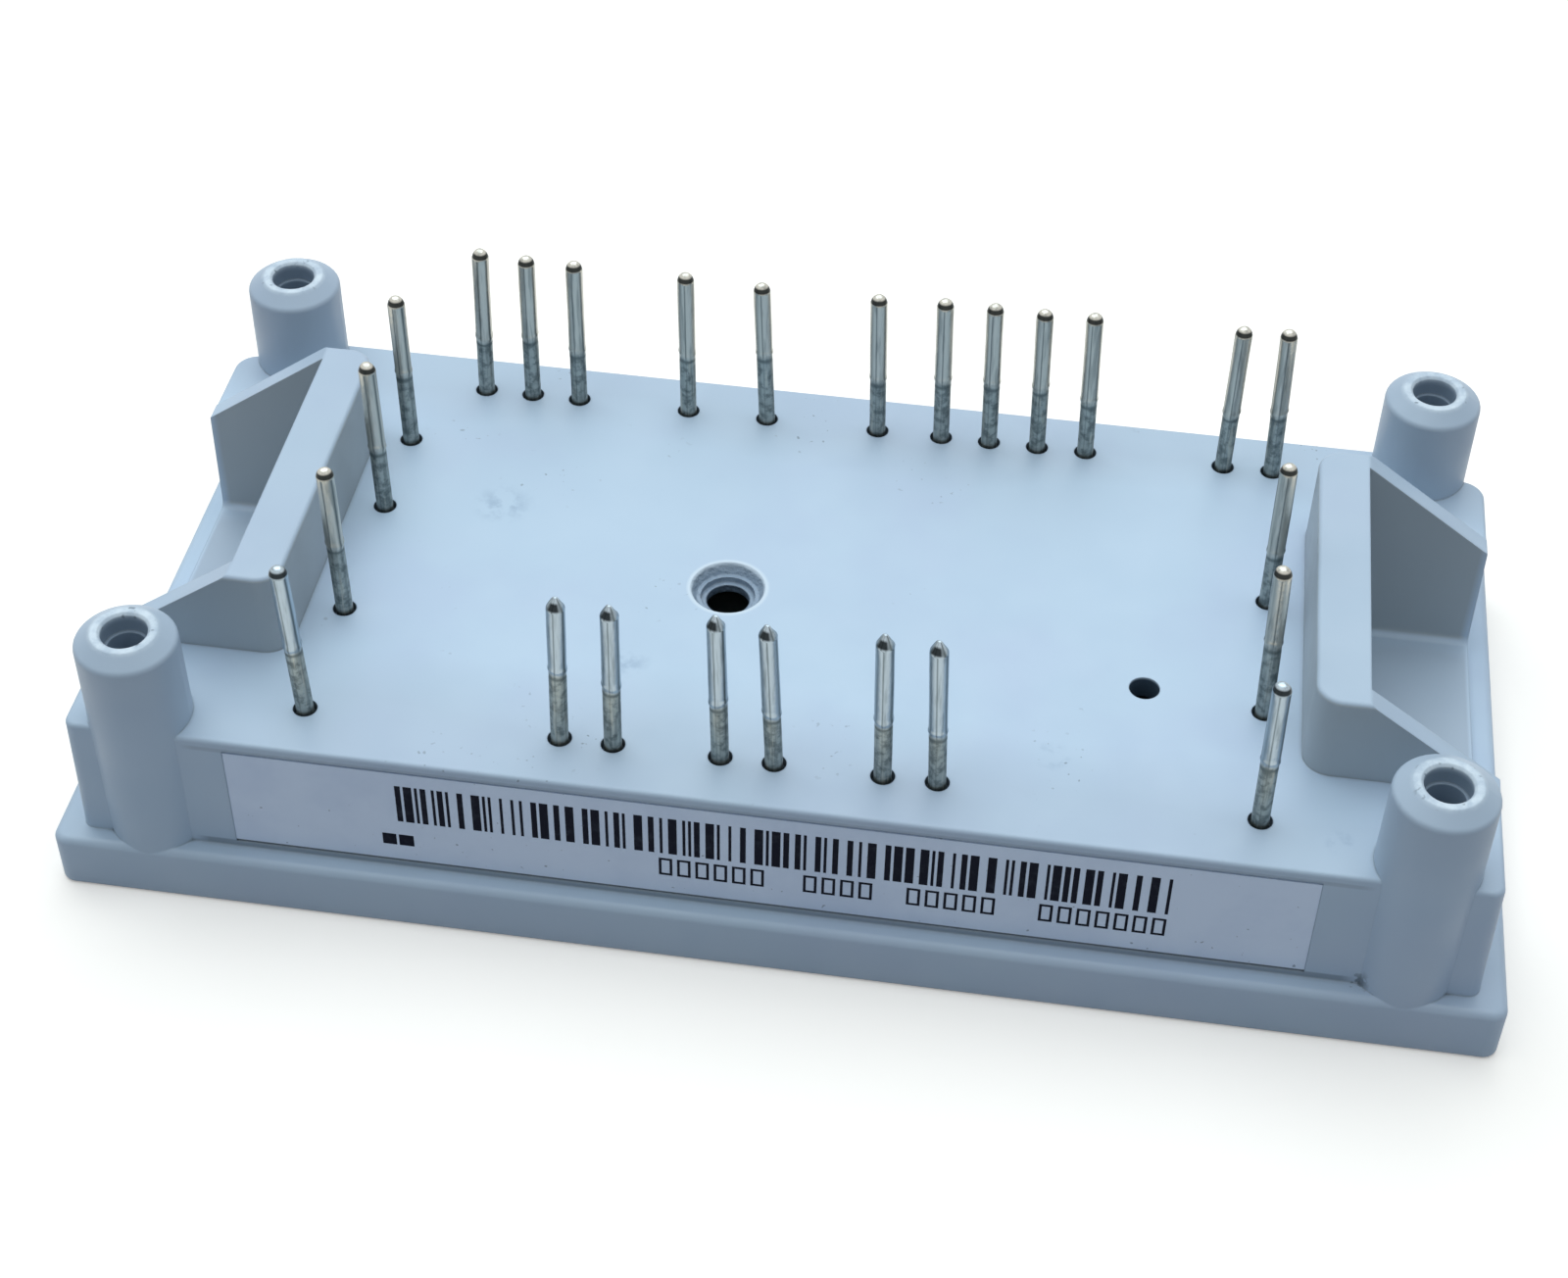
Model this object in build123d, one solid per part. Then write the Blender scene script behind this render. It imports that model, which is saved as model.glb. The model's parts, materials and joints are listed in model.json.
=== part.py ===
from build123d import *
import math
import os

# Three-phase bridge rectifier module in a solder-pin housing.
# The frame has +X along the length, +Y towards the back row of pins and +Z up.
# The origin is the middle of the underside, which lies on the heatsink.
# All sizes are in millimetres.

# Solder pins
pin_diameter = 1.0
pin_pitch = 3.0
pin_height = 22.5
pin_tip_length = 0.45
pin_tip_diameter = 0.5
pin_foot_diameter = 1.6
pin_foot_height = 0.6
pin_hole_clearance = 0.185
column_x = 26.5
back_row_y = 14.9
front_row_y = -14.6
back_group_x = [-23.0, -10.0, -5.0, 2.0, 6.0, column_x - pin_pitch]
back_group_counts = [3, 1, 1, 1, 4, 2]
front_group_x = [-12.0, -3.0, 6.0]
front_group_counts = [2, 2, 2]
left_column = [9.3, 2.9, -6.3, front_row_y]
right_column = [2.9, -6.3, front_row_y]

# Moulded housing
cover_height = 11.9
cover_thickness = 1.5
side_wall = 2.05
end_wall = 2.2
wall_draft = 1.0
row_to_wall = 0.25
column_to_wall = 2.1
cover_edge_radius = 0.25
front_corner_radius = 0.7
back_corner_radius = 1.4
back_corner_cut = 2.0

# Base flange
flange_height = 3.68
flange_ledge_side = 1.35
flange_ledge_end = 1.7
flange_corner_radius = 0.9
flange_top_radius = 0.45
flange_bottom_radius = 0.25

# Clamp pockets in the two short ends, each behind a raised wall
pocket_length = 7.85
pocket_width = 18.7
pocket_wall = 1.32
pocket_floor_height = 4.6
pocket_floor_radius = 0.5
bar_thickness = 2.95
bar_height = 5.6
bar_corner_radius = 1.5
bar_edge_radius = 0.3
cheek_end_drop = 0.07

# Corner posts that carry the circuit board
post_height = 18.2
post_diameter = 5.7
post_foot_diameter = 5.84
post_rim_diameter = 3.7
post_shoulder_height = 0.72
post_shoulder_round = 0.4
post_inset_x = 4.05
post_inset_y = 1.59
screw_hole_diameter = 2.6
screw_hole_depth = 9.0
screw_hole_lead_in = 0.15
screw_step_diameter = 2.2
screw_step_depth = 1.2

# Filling hole and vent hole in the cover
fill_x = -4.85
fill_y = -0.95
fill_rim_diameter = 4.4
fill_cone_diameter = 3.7
fill_cone_depth = 0.65
fill_step_diameter = 3.2
fill_step_depth = 1.0
fill_bore_diameter = 2.54
vent_x = 19.78
vent_y = -5.45
vent_diameter = 1.75

# Ceramic substrate with copper on both faces
base_copper_thickness = 0.3
ceramic_thickness = 0.63
track_thickness = 0.3
substrate_seat_width = 1.2
substrate_clearance = 0.1
base_copper_margin = 0.6
track_gap = 0.8
track_to_wall = 0.1
pad_margin = 0.6
pad_reach = 2.0
ribbon_seat = 1.4
trunk_width = 4.2

# Chips, thermistor and bond ribbons
die_side = 4.5
die_thickness = 0.25
die_to_track_edge = 1.0
thermistor_length = 3.2
thermistor_width = 1.6
thermistor_height = 0.9
thermistor_pad_length = 5.4
ribbon_width = 1.2
ribbon_thickness = 0.2
ribbon_foot = 0.7
ribbon_rise = 1.5
sense_ribbon_rise = 0.7
ribbon_spread = 1.1
link_spread = 3.2
gel_height = 7.0

# Label on the front wall
label_length = 60.1
label_foot_gap = 0.51
label_head_gap = 0.85
label_centre_x = -0.2
label_thickness = 0.08
label_recess_depth = 0.12
label_recess_margin = 0.15

# Sizes that follow from the ones above
foot_radius = pin_foot_diameter / 2
cavity_half_depth = back_row_y + foot_radius + row_to_wall
cavity_half_length = column_x + foot_radius + column_to_wall
body_half_depth = cavity_half_depth + side_wall
pocket_face_x = cavity_half_length + end_wall
body_half_length = pocket_face_x + pocket_length
flange_half_depth = body_half_depth + flange_ledge_side
flange_half_length = body_half_length + flange_ledge_end
post_x = body_half_length - post_inset_x
post_y = body_half_depth - post_inset_y
bar_top = cover_height + bar_height
cheek_outer_y = pocket_width / 2 + pocket_wall
ceramic_base = base_copper_thickness
ceramic_top = ceramic_base + ceramic_thickness
track_top = ceramic_top + track_thickness
die_top = track_top + die_thickness
ceiling_height = cover_height - cover_thickness
label_base = flange_height + label_foot_gap
label_top = cover_height - label_head_gap


def slab(x0, x1, y0, y1, z0, z1):
    """Rectangular block between two opposite corners."""
    return Pos((x0 + x1) / 2, (y0 + y1) / 2, (z0 + z1) / 2) * Box(x1 - x0, y1 - y0, z1 - z0)


def row_positions(group_x, group_counts):
    """Pin positions along a row, from each group's first pin and its count."""
    return [start + i * pin_pitch for start, count in zip(group_x, group_counts) for i in range(count)]


def pin_positions():
    """Every pin's node name with its place on the cover."""
    places = []
    for i, x in enumerate(row_positions(back_group_x, back_group_counts)):
        places.append((f"pin_back_{i + 1:02d}", x, back_row_y))
    for i, y in enumerate(left_column):
        places.append((f"pin_left_{i + 1}", -column_x, y))
    for i, y in enumerate(right_column):
        places.append((f"pin_right_{i + 1}", column_x, y))
    for i, x in enumerate(row_positions(front_group_x, front_group_counts)):
        places.append((f"pin_front_{i + 1}", x, front_row_y))
    return places


def corner_positions():
    return [(sx * post_x, sy * post_y) for sx in (-1, 1) for sy in (-1, 1)]


# Housing

def make_flange():
    flange = extrude(Rectangle(2 * flange_half_length, 2 * flange_half_depth), flange_height)
    flange = fillet(flange.edges().filter_by(Axis.Z), flange_corner_radius)
    flange = fillet(flange.faces().sort_by(Axis.Z)[-1].edges(), flange_top_radius)
    return fillet(flange.faces().sort_by(Axis.Z)[0].edges(), flange_bottom_radius)


def make_body():
    """Drafted block on the flange, cut back at its two rear corners behind the posts."""
    height = cover_height - flange_height
    spread = 2 * height * math.tan(math.radians(wall_draft))
    foot = Rectangle(2 * body_half_length + spread, 2 * body_half_depth + spread)
    body = Pos(0, 0, flange_height) * extrude(foot, height, taper=wall_draft)
    reach = body_half_length + spread
    cut_y = body_half_depth - back_corner_cut
    corner = slab(post_x, reach, cut_y, body_half_depth + spread, flange_height, cover_height)
    body -= [corner, mirror(corner, about=Plane.YZ)]
    upright = body.edges().filter_by(lambda e: abs((e @ 0).Z - (e @ 1).Z) > height / 2)
    outer = upright.sort_by(lambda e: abs((e @ 0.5).X))[-4:].sort_by(Axis.Y)
    body = fillet(outer[:2], front_corner_radius)
    upright = body.edges().filter_by(lambda e: abs((e @ 0).Z - (e @ 1).Z) > height / 2)
    back = upright.filter_by(lambda e: abs((e @ 0.5).X) > post_x + back_corner_radius)
    body = fillet(back.sort_by(Axis.Y)[-2:], back_corner_radius)
    return fillet(body.faces().sort_by(Axis.Z)[-1].edges(), cover_edge_radius)


def make_pocket_wall():
    """Raised bar with two cheeks that fall away to the cover at the end face."""
    root = cover_height - cover_thickness
    inner_x = pocket_face_x - bar_thickness
    profile = Polyline(
        (inner_x, root),
        (inner_x, bar_top),
        (pocket_face_x, bar_top),
        (body_half_length, cover_height - cheek_end_drop),
        (body_half_length, root),
        close=True,
    )
    wall = extrude(make_face(Plane.XZ * profile), cheek_outer_y, both=True)
    upright = wall.edges().filter_by(Axis.Z).sort_by(Axis.X)[:2]
    wall = fillet(upright, bar_corner_radius)
    crest = wall.edges().group_by(Axis.Z)[-1]
    return fillet(crest, bar_edge_radius)


def make_pocket():
    """Clamp pocket, open upwards and at the short end, with rounded floor edges."""
    reach = flange_half_length + flange_ledge_end
    pocket = slab(pocket_face_x, reach, -pocket_width / 2, pocket_width / 2, pocket_floor_height,
                  post_height)
    floor = pocket.faces().sort_by(Axis.Z)[0].edges()
    return fillet(floor.sort_by(Axis.X)[:3], pocket_floor_radius)


def make_post():
    """Turned post profile: drafted shaft, rounded shoulder and a flat rim."""
    shoulder = post_height - post_shoulder_height
    outline = Polyline(
        (0, flange_height - flange_top_radius),
        (post_foot_diameter / 2, flange_height - flange_top_radius),
        (post_foot_diameter / 2, flange_height),
        (post_diameter / 2, shoulder),
        (post_rim_diameter / 2, post_height),
        (0, post_height),
        close=True,
    )
    section = make_face(outline)
    section = fillet(section.vertices().sort_by(Axis.Y)[-3], post_shoulder_round)
    return revolve(Plane.XZ * section, Axis.Z)


def make_screw_hole():
    """Blind hole for a thread-forming screw, wider for a short way under its lead-in."""
    outline = Polyline(
        (0, post_height - screw_hole_depth),
        (screw_step_diameter / 2, post_height - screw_hole_depth),
        (screw_step_diameter / 2, post_height - screw_step_depth),
        (screw_hole_diameter / 2, post_height - screw_step_depth),
        (screw_hole_diameter / 2, post_height - screw_hole_lead_in),
        (screw_hole_diameter / 2 + screw_hole_lead_in, post_height),
        (0, post_height),
        close=True,
    )
    return revolve(Plane.XZ * make_face(outline), Axis.Z)


def make_fill_hole():
    """Stepped funnel through the cover."""
    outline = Polyline(
        (0, ceiling_height),
        (fill_bore_diameter / 2, ceiling_height),
        (fill_bore_diameter / 2, cover_height - fill_step_depth),
        (fill_step_diameter / 2, cover_height - fill_step_depth),
        (fill_step_diameter / 2, cover_height - fill_cone_depth),
        (fill_cone_diameter / 2, cover_height - fill_cone_depth),
        (fill_rim_diameter / 2, cover_height),
        (0, cover_height),
        close=True,
    )
    return Pos(fill_x, fill_y) * revolve(Plane.XZ * make_face(outline), Axis.Z)


def make_housing():
    housing = make_flange() + make_body()
    wall = make_pocket_wall()
    housing += [wall, mirror(wall, about=Plane.YZ)]
    post = make_post()
    housing += [Pos(x, y) * post for x, y in corner_positions()]
    pocket = make_pocket()
    seat_x = cavity_half_length + substrate_seat_width
    seat_y = cavity_half_depth + substrate_seat_width
    cavity = slab(-cavity_half_length, cavity_half_length, -cavity_half_depth, cavity_half_depth,
                  0, ceiling_height)
    seat = slab(-seat_x, seat_x, -seat_y, seat_y, 0, ceramic_top)
    hole_radius = pin_diameter / 2 + pin_hole_clearance
    pin_hole = Pos(0, 0, ceiling_height) * extrude(Circle(hole_radius), cover_thickness)
    vent = Pos(vent_x, vent_y, ceiling_height) * extrude(Circle(vent_diameter / 2), cover_thickness)
    housing -= [pocket, mirror(pocket, about=Plane.YZ)]
    housing -= [cavity, seat]
    housing -= [Pos(x, y) * make_screw_hole() for x, y in corner_positions()]
    housing -= [Pos(x, y) * pin_hole for name, x, y in pin_positions()]
    housing -= [make_fill_hole(), vent, make_label_recess()]
    return housing


def wall_strip(length, low, high, inner, outer):
    """Strip parallel to the drafted front wall, between two depths into the wall."""
    slope = math.tan(math.radians(wall_draft))

    def wall_y(z):
        return -body_half_depth - (cover_height - z) * slope

    outline = Polyline(
        (wall_y(low) + inner, low),
        (wall_y(low) + outer, low),
        (wall_y(high) + outer, high),
        (wall_y(high) + inner, high),
        close=True,
    )
    strip = extrude(make_face(Plane.YZ * outline), length / 2, both=True)
    return Pos(label_centre_x, 0, 0) * strip


def make_label():
    """Thin label on the floor of its shallow recess in the front wall."""
    outer = label_recess_depth - label_thickness
    return wall_strip(label_length, label_base, label_top, label_recess_depth, outer)


def make_label_recess():
    length = label_length + 2 * label_recess_margin
    low = label_base - label_recess_margin
    high = label_top + label_recess_margin
    return wall_strip(length, low, high, label_recess_depth, -label_recess_depth)


# Pins

def make_pin():
    """Round pin with a soldered foot disc and a tapered tip."""
    outline = Polyline(
        (0, track_top),
        (foot_radius, track_top),
        (foot_radius, track_top + pin_foot_height),
        (pin_diameter / 2, track_top + pin_foot_height),
        (pin_diameter / 2, pin_height - pin_tip_length),
        (pin_tip_diameter / 2, pin_height),
        (0, pin_height),
        close=True,
    )
    return revolve(Plane.XZ * make_face(outline), Axis.Z)


# Substrate and copper tracks

def make_ceramic():
    half_x = cavity_half_length + substrate_seat_width - substrate_clearance
    half_y = cavity_half_depth + substrate_seat_width - substrate_clearance
    return slab(-half_x, half_x, -half_y, half_y, ceramic_base, ceramic_top)


def make_base_copper():
    half_x = cavity_half_length + substrate_seat_width - substrate_clearance - base_copper_margin
    half_y = cavity_half_depth + substrate_seat_width - substrate_clearance - base_copper_margin
    return slab(-half_x, half_x, -half_y, half_y, 0, base_copper_thickness)


pad_half = foot_radius + pad_margin
copper_y = cavity_half_depth - track_to_wall
back_pad_y = back_row_y - pad_reach
front_pad_y = front_row_y + pad_reach
trunk_y0 = front_pad_y + track_gap
trunk_y1 = trunk_y0 + trunk_width
plus_y1 = back_pad_y - track_gap
plus_y0 = plus_y1 - ribbon_seat - die_side - die_to_track_edge
phase_y0 = trunk_y1 + track_gap
phase_y1 = plus_y0 - track_gap
leg_x = [start + (count - 1) * pin_pitch / 2 for start, count in zip(front_group_x, front_group_counts)]
leg_half = (leg_x[1] - leg_x[0] - track_gap) / 2
minus_start = back_group_x[0]
inner_x = pad_half - minus_start
minus_x1 = minus_start + (back_group_counts[0] - 1) * pin_pitch + pad_half
plus_start = back_group_x[4]
plus_x1 = plus_start + (back_group_counts[4] - 1) * pin_pitch + pad_half
legs_x1 = leg_x[-1] + leg_half
column_pad_x = column_x + pad_half
thermistor_y = copper_y - thermistor_pad_length
single_x = [start for start, count in zip(back_group_x, back_group_counts) if count == 1]


def track(*rectangles):
    """Copper island made of overlapping rectangles on the ceramic."""
    island = slab(*rectangles[0], ceramic_top, track_top)
    for rectangle in rectangles[1:]:
        island += slab(*rectangle, ceramic_top, track_top)
    return island


def make_tracks():
    """Copper islands by node name."""
    islands = {}
    islands["dc_minus_track"] = track(
        (-inner_x, minus_x1, -copper_y, copper_y),
        (-inner_x, legs_x1, trunk_y0, trunk_y1),
    )
    islands["dc_plus_track"] = track(
        (minus_x1 + track_gap, plus_x1, plus_y0, plus_y1),
        (plus_start - pad_half, plus_x1, plus_y0, copper_y),
        (legs_x1 + track_gap, inner_x, -copper_y, thermistor_y - track_gap),
    )
    for i, x in enumerate(leg_x):
        islands[f"phase_track_{i + 1}"] = track((x - leg_half, x + leg_half, phase_y0, phase_y1))
        islands[f"terminal_pad_{i + 1}"] = track((x - leg_half, x + leg_half, -copper_y, front_pad_y))
    pads = [track((x - pad_half, x + pad_half, back_pad_y, copper_y)) for x in single_x]
    for side, column in ((-1, left_column), (1, right_column)):
        near, far = sorted((side * (inner_x + track_gap), side * column_pad_x))
        for y in column:
            low = max(y - pad_half, -copper_y)
            pads.append(track((near, far, low, y + pad_half + ribbon_seat)))
    islands["auxiliary_pads"] = Compound(children=pads)
    middle = column_x - pin_pitch / 2
    islands["thermistor_pads"] = Compound(children=[
        track((middle - pin_pitch / 2 - pad_half, middle - track_gap / 2, thermistor_y, copper_y)),
        track((middle + track_gap / 2, column_pad_x, thermistor_y, copper_y)),
    ])
    return islands


# Chips and bond ribbons

def make_die(x, y):
    half = die_side / 2
    return slab(x - half, x + half, y - half, y + half, track_top, die_top)


def ribbon(start, end, z_start, z_end, across, rise, plane):
    """Aluminium ribbon with a flat foot at each end of a low arch.

    start and end are where the arch leaves its feet, along the plane's first axis.
    """
    middle = (start + end) / 2
    crown = max(z_start, z_end) + rise
    t = ribbon_thickness
    under = ThreePointArc((start, z_start), (middle, crown), (end, z_end))
    over = ThreePointArc((start, z_start + t), (middle, crown + t), (end, z_end + t))
    left = Polyline((start, z_start), (start - ribbon_foot, z_start),
                    (start - ribbon_foot, z_start + t), (start, z_start + t))
    right = Polyline((end, z_end), (end + ribbon_foot, z_end),
                     (end + ribbon_foot, z_end + t), (end, z_end + t))
    profile = make_face([plane * line for line in (left, under, right, over)])
    shape = extrude(profile, ribbon_width / 2, both=True)
    return (Pos(across, 0, 0) if plane == Plane.YZ else Pos(0, across, 0)) * shape


def make_ribbons():
    """Bond ribbons by node name, each node a pair or a set of separate ribbons."""
    sets = {}
    low_y = phase_y0 + die_to_track_edge + die_side / 2
    high_y = plus_y0 + die_to_track_edge + die_side / 2
    foot_to_gap = track_gap / 2 + ribbon_foot / 2
    for i, x in enumerate(leg_x):
        pair = [x - ribbon_spread, x + ribbon_spread]
        trunk_middle = (trunk_y0 + trunk_y1) / 2
        sets[f"low_side_ribbons_{i + 1}"] = [
            ribbon(trunk_middle, low_y - ribbon_foot, track_top, die_top, px, ribbon_rise, Plane.YZ)
            for px in pair]
        sets[f"high_side_ribbons_{i + 1}"] = [
            ribbon(phase_y1 - 2 * ribbon_foot, high_y - ribbon_foot, track_top, die_top, px,
                   ribbon_rise, Plane.YZ)
            for px in pair]
        links = [x - link_spread, x + link_spread]
        sets[f"link_ribbons_{i + 1}"] = [
            ribbon(front_pad_y - ribbon_foot / 2, phase_y0 + ribbon_foot / 2, track_top, track_top,
                   px, ribbon_rise, Plane.YZ)
            for px in links]
    sense = []
    for x in single_x:
        edge = plus_y1 + track_gap / 2
        sense.append(ribbon(edge - foot_to_gap, edge + foot_to_gap, track_top, track_top, x,
                            sense_ribbon_rise, Plane.YZ))
    edge = inner_x + track_gap / 2
    for side, column in ((-1, left_column), (1, right_column)):
        start, end = sorted((side * (edge - foot_to_gap), side * (edge + foot_to_gap)))
        for y in column:
            seat_y = y + pad_half + ribbon_seat / 2 - track_to_wall
            sense.append(ribbon(start, end, track_top, track_top, seat_y, sense_ribbon_rise, Plane.XZ))
    sets["sense_ribbons"] = sense
    return sets, low_y, high_y


def make_thermistor():
    x = column_x - pin_pitch / 2
    y = thermistor_y + thermistor_width / 2
    return slab(x - thermistor_length / 2, x + thermistor_length / 2,
                y - thermistor_width / 2, y + thermistor_width / 2,
                track_top, track_top + thermistor_height)


def main():
    os.makedirs("parts", exist_ok=True)
    parts = {"housing": make_housing(), "label": make_label()}
    parts["ceramic_substrate"] = make_ceramic()
    parts["base_copper"] = make_base_copper()
    sealed = dict(make_tracks())
    ribbons, low_y, high_y = make_ribbons()
    for i, x in enumerate(leg_x):
        sealed[f"diode_low_{i + 1}"] = make_die(x, low_y)
        sealed[f"diode_high_{i + 1}"] = make_die(x, high_y)
    sealed["thermistor"] = make_thermistor()
    for name, solids in ribbons.items():
        sealed[name] = Compound(children=solids)
    pin = make_pin()
    for name, x, y in pin_positions():
        sealed[name] = Pos(x, y) * pin
    gel = slab(-cavity_half_length, cavity_half_length, -cavity_half_depth, cavity_half_depth,
               ceramic_top, gel_height)
    for piece in sealed.values():
        gel -= piece
    parts.update(sealed)
    parts["silicone_gel"] = gel
    for name, shape in parts.items():
        export_step(shape, f"parts/{name}.step")


main()
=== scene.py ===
import json
import math

import bpy
import numpy as np
from mathutils import Euler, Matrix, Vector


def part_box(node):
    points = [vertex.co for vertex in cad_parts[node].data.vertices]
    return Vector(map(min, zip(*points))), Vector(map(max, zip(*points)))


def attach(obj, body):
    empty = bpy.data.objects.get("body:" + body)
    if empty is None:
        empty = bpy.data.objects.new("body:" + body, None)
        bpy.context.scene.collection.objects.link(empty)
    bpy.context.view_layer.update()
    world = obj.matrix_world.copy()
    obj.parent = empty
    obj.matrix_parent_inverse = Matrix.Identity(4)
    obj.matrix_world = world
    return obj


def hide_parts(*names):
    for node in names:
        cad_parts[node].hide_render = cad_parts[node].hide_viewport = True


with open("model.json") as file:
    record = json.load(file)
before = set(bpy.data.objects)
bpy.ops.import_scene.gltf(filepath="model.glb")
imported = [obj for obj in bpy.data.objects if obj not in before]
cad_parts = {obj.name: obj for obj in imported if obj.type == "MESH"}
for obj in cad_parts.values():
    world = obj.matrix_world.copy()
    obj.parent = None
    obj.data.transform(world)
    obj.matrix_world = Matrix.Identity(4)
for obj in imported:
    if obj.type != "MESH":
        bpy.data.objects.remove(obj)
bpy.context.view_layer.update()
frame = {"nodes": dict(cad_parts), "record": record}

mm = 0.001
openEnd = 60.0  # mm, farther out than any face, for a band that is open at one end
scene = bpy.context.scene
rng = np.random.default_rng(25)


# Colours, nodes and meshes

def linearColour(hexText):
    # sRGB hex to linear: c / 12.92 below 0.04045, else ((c + 0.055) / 1.055) ** 2.4
    parts = [int(hexText[i:i + 2], 16) / 255 for i in (1, 3, 5)]
    linear = [c / 12.92 if c <= 0.04045 else ((c + 0.055) / 1.055) ** 2.4 for c in parts]
    return (*linear, 1.0)


def addNode(tree, kind, links=None, **settings):
    # a node with its settings; links maps an input to a value or to another node's output
    node = tree.nodes.new(kind)
    for key, value in settings.items():
        setattr(node, key, value)
    for key, value in (links or {}).items():
        if isinstance(value, bpy.types.NodeSocket):
            tree.links.new(value, node.inputs[key])
        else:
            node.inputs[key].default_value = value
    return node


def newMaterial(name):
    material = bpy.data.materials.new(name)
    material.use_nodes = True
    tree = material.node_tree
    tree.nodes.clear()
    return material, tree


def patches(tree, vector, size, low, high, detail=2.0):
    # soft patches about size mm across: 0 where the noise is under low and 1 where it is over high
    noise = addNode(tree, "ShaderNodeTexNoise", {
        "Vector": vector, "Scale": 1 / (size * mm), "Detail": detail, "Roughness": 0.6})
    return addNode(tree, "ShaderNodeMapRange", {
        "Value": noise.outputs["Fac"], "From Min": low, "From Max": high},
        interpolation_type="SMOOTHSTEP").outputs[0]


def bandMask(tree, value, low, high, soft):
    # 1 between two levels of a coordinate in mm, fading over soft mm to both sides of each level
    rise = addNode(tree, "ShaderNodeMapRange", {
        "Value": value, "From Min": (low - soft) * mm, "From Max": (low + soft) * mm})
    fall = addNode(tree, "ShaderNodeMapRange", {
        "Value": value, "From Min": (high + soft) * mm, "From Max": (high - soft) * mm})
    return addNode(tree, "ShaderNodeMath", {0: rise.outputs[0], 1: fall.outputs[0]},
                   operation="MULTIPLY").outputs[0]


def paintOver(tree, under, tone, strength, *masks):
    # lays a colour over what is there, where all the masks are on
    amount = strength
    for mask in masks:
        amount = addNode(tree, "ShaderNodeMath", {0: amount, 1: mask},
                         operation="MULTIPLY").outputs[0]
    return addNode(tree, "ShaderNodeMix", {0: amount, 6: under, 7: linearColour(tone)},
                   data_type="RGBA").outputs[2]


def planDistance(tree, xyz, centre, mirrored=False):
    # distance in plan from a centre, or from the nearest of its mirror images in both axes
    sides = []
    for axis in (0, 1):
        place = xyz.outputs[axis]
        if mirrored:
            place = addNode(tree, "ShaderNodeMath", {0: place}, operation="ABSOLUTE").outputs[0]
        sides.append(addNode(tree, "ShaderNodeMath", {0: place, 1: centre[axis] * mm},
                             operation="SUBTRACT").outputs[0])
    both = addNode(tree, "ShaderNodeCombineXYZ", {0: sides[0], 1: sides[1]})
    return addNode(tree, "ShaderNodeVectorMath", {0: both.outputs[0]},
                   operation="LENGTH").outputs["Value"]


def gridMesh(name, points, uv=None, closed=False):
    # a mesh from a grid of points with rows along v and columns along u
    # closed joins the last column to the first and shuts both ends with a fan of triangles;
    # its map has one column more than its points
    rows, columns = points.shape[:2]
    uu, vv = np.meshgrid(np.arange(columns if closed else columns - 1), np.arange(rows - 1))
    corners = [(vv, uu), (vv, uu + 1), (vv + 1, uu + 1), (vv + 1, uu)]
    quads = np.stack([v * columns + u % columns for v, u in corners], axis=-1).reshape(-1, 4)
    verts = points.reshape(-1, 3)
    faces = quads.tolist()
    if closed:
        ring = np.arange(columns)
        after = (ring + 1) % columns
        last = (rows - 1) * columns
        low = np.stack([np.full(columns, len(verts)), after, ring], axis=-1)
        high = np.stack([np.full(columns, len(verts) + 1), last + ring, last + after], axis=-1)
        verts = np.vstack([verts, points[0].mean(axis=0), points[-1].mean(axis=0)])
        faces += low.tolist() + high.tolist()
    mesh = bpy.data.meshes.new(name)
    mesh.from_pydata(verts.tolist(), [], faces)
    if uv is not None:
        sides = np.stack([uv[v, u] for v, u in corners], axis=-2).reshape(-1, 2)
        lowEnd = np.stack([uv[0, ring], uv[0, ring + 1], uv[0, ring]], axis=1).reshape(-1, 2)
        highEnd = np.stack([uv[-1, ring], uv[-1, ring], uv[-1, ring + 1]], axis=1).reshape(-1, 2)
        layer = mesh.uv_layers.new(name="UVMap")
        layer.data.foreach_set("uv", np.vstack([sides, lowEnd, highEnd]).astype(np.float32).ravel())
    mesh.polygons.foreach_set("use_smooth", np.ones(len(mesh.polygons), dtype=bool))
    mesh.update()
    return mesh


def addPiece(name, mesh, material, replaced=()):
    piece = bpy.data.objects.new(name, mesh)
    scene.collection.objects.link(piece)
    mesh.materials.append(material)
    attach(piece, "root")
    if replaced:
        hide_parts(*replaced)


def dressNode(node, material):
    # gives a carried-over solid its material
    data = bpy.data.objects[node].data
    data.materials.clear()
    data.materials.append(material)


# Camera: the photograph is 1600 x 1304 and its long side spans the sensor

cameraView = {
    "place": (14.671, -116.293, 119.275),  # mm from the middle of the underside
    "tilt": 46.362,  # degrees up from straight down
    "lean": -0.673,
    "turn": 8.611,
    "lens": 62.13,
    "sensor": 36.0,
    "sees": (0.005, 20.0),  # m, nearest and farthest
}


def placeCamera(view):
    data = bpy.data.cameras.new("photoCamera")
    data.sensor_fit = "HORIZONTAL"
    data.sensor_width = view["sensor"]
    data.lens = view["lens"]
    data.clip_start, data.clip_end = view["sees"]
    camera = bpy.data.objects.new("photoCamera", data)
    camera.location = [c * mm for c in view["place"]]
    camera.rotation_euler = Euler([math.radians(view[k]) for k in ("tilt", "lean", "turn")], "XYZ")
    scene.collection.objects.link(camera)
    scene.camera = camera


placeCamera(cameraView)
print("camera placed")


# Moulded housing: glass-filled PBT, injection moulded in a spark-eroded tool
# It gives the eye a pale cool blue-grey with a fine matte grain, cloudy handling marks and chalky
# rubbed rings on the post rims; painted shade greys its front and back bands and its pockets,
# darkens its holes and corners, and lines the foot of the wall, where there is also a little dark
# dirt by the front right post.

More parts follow.
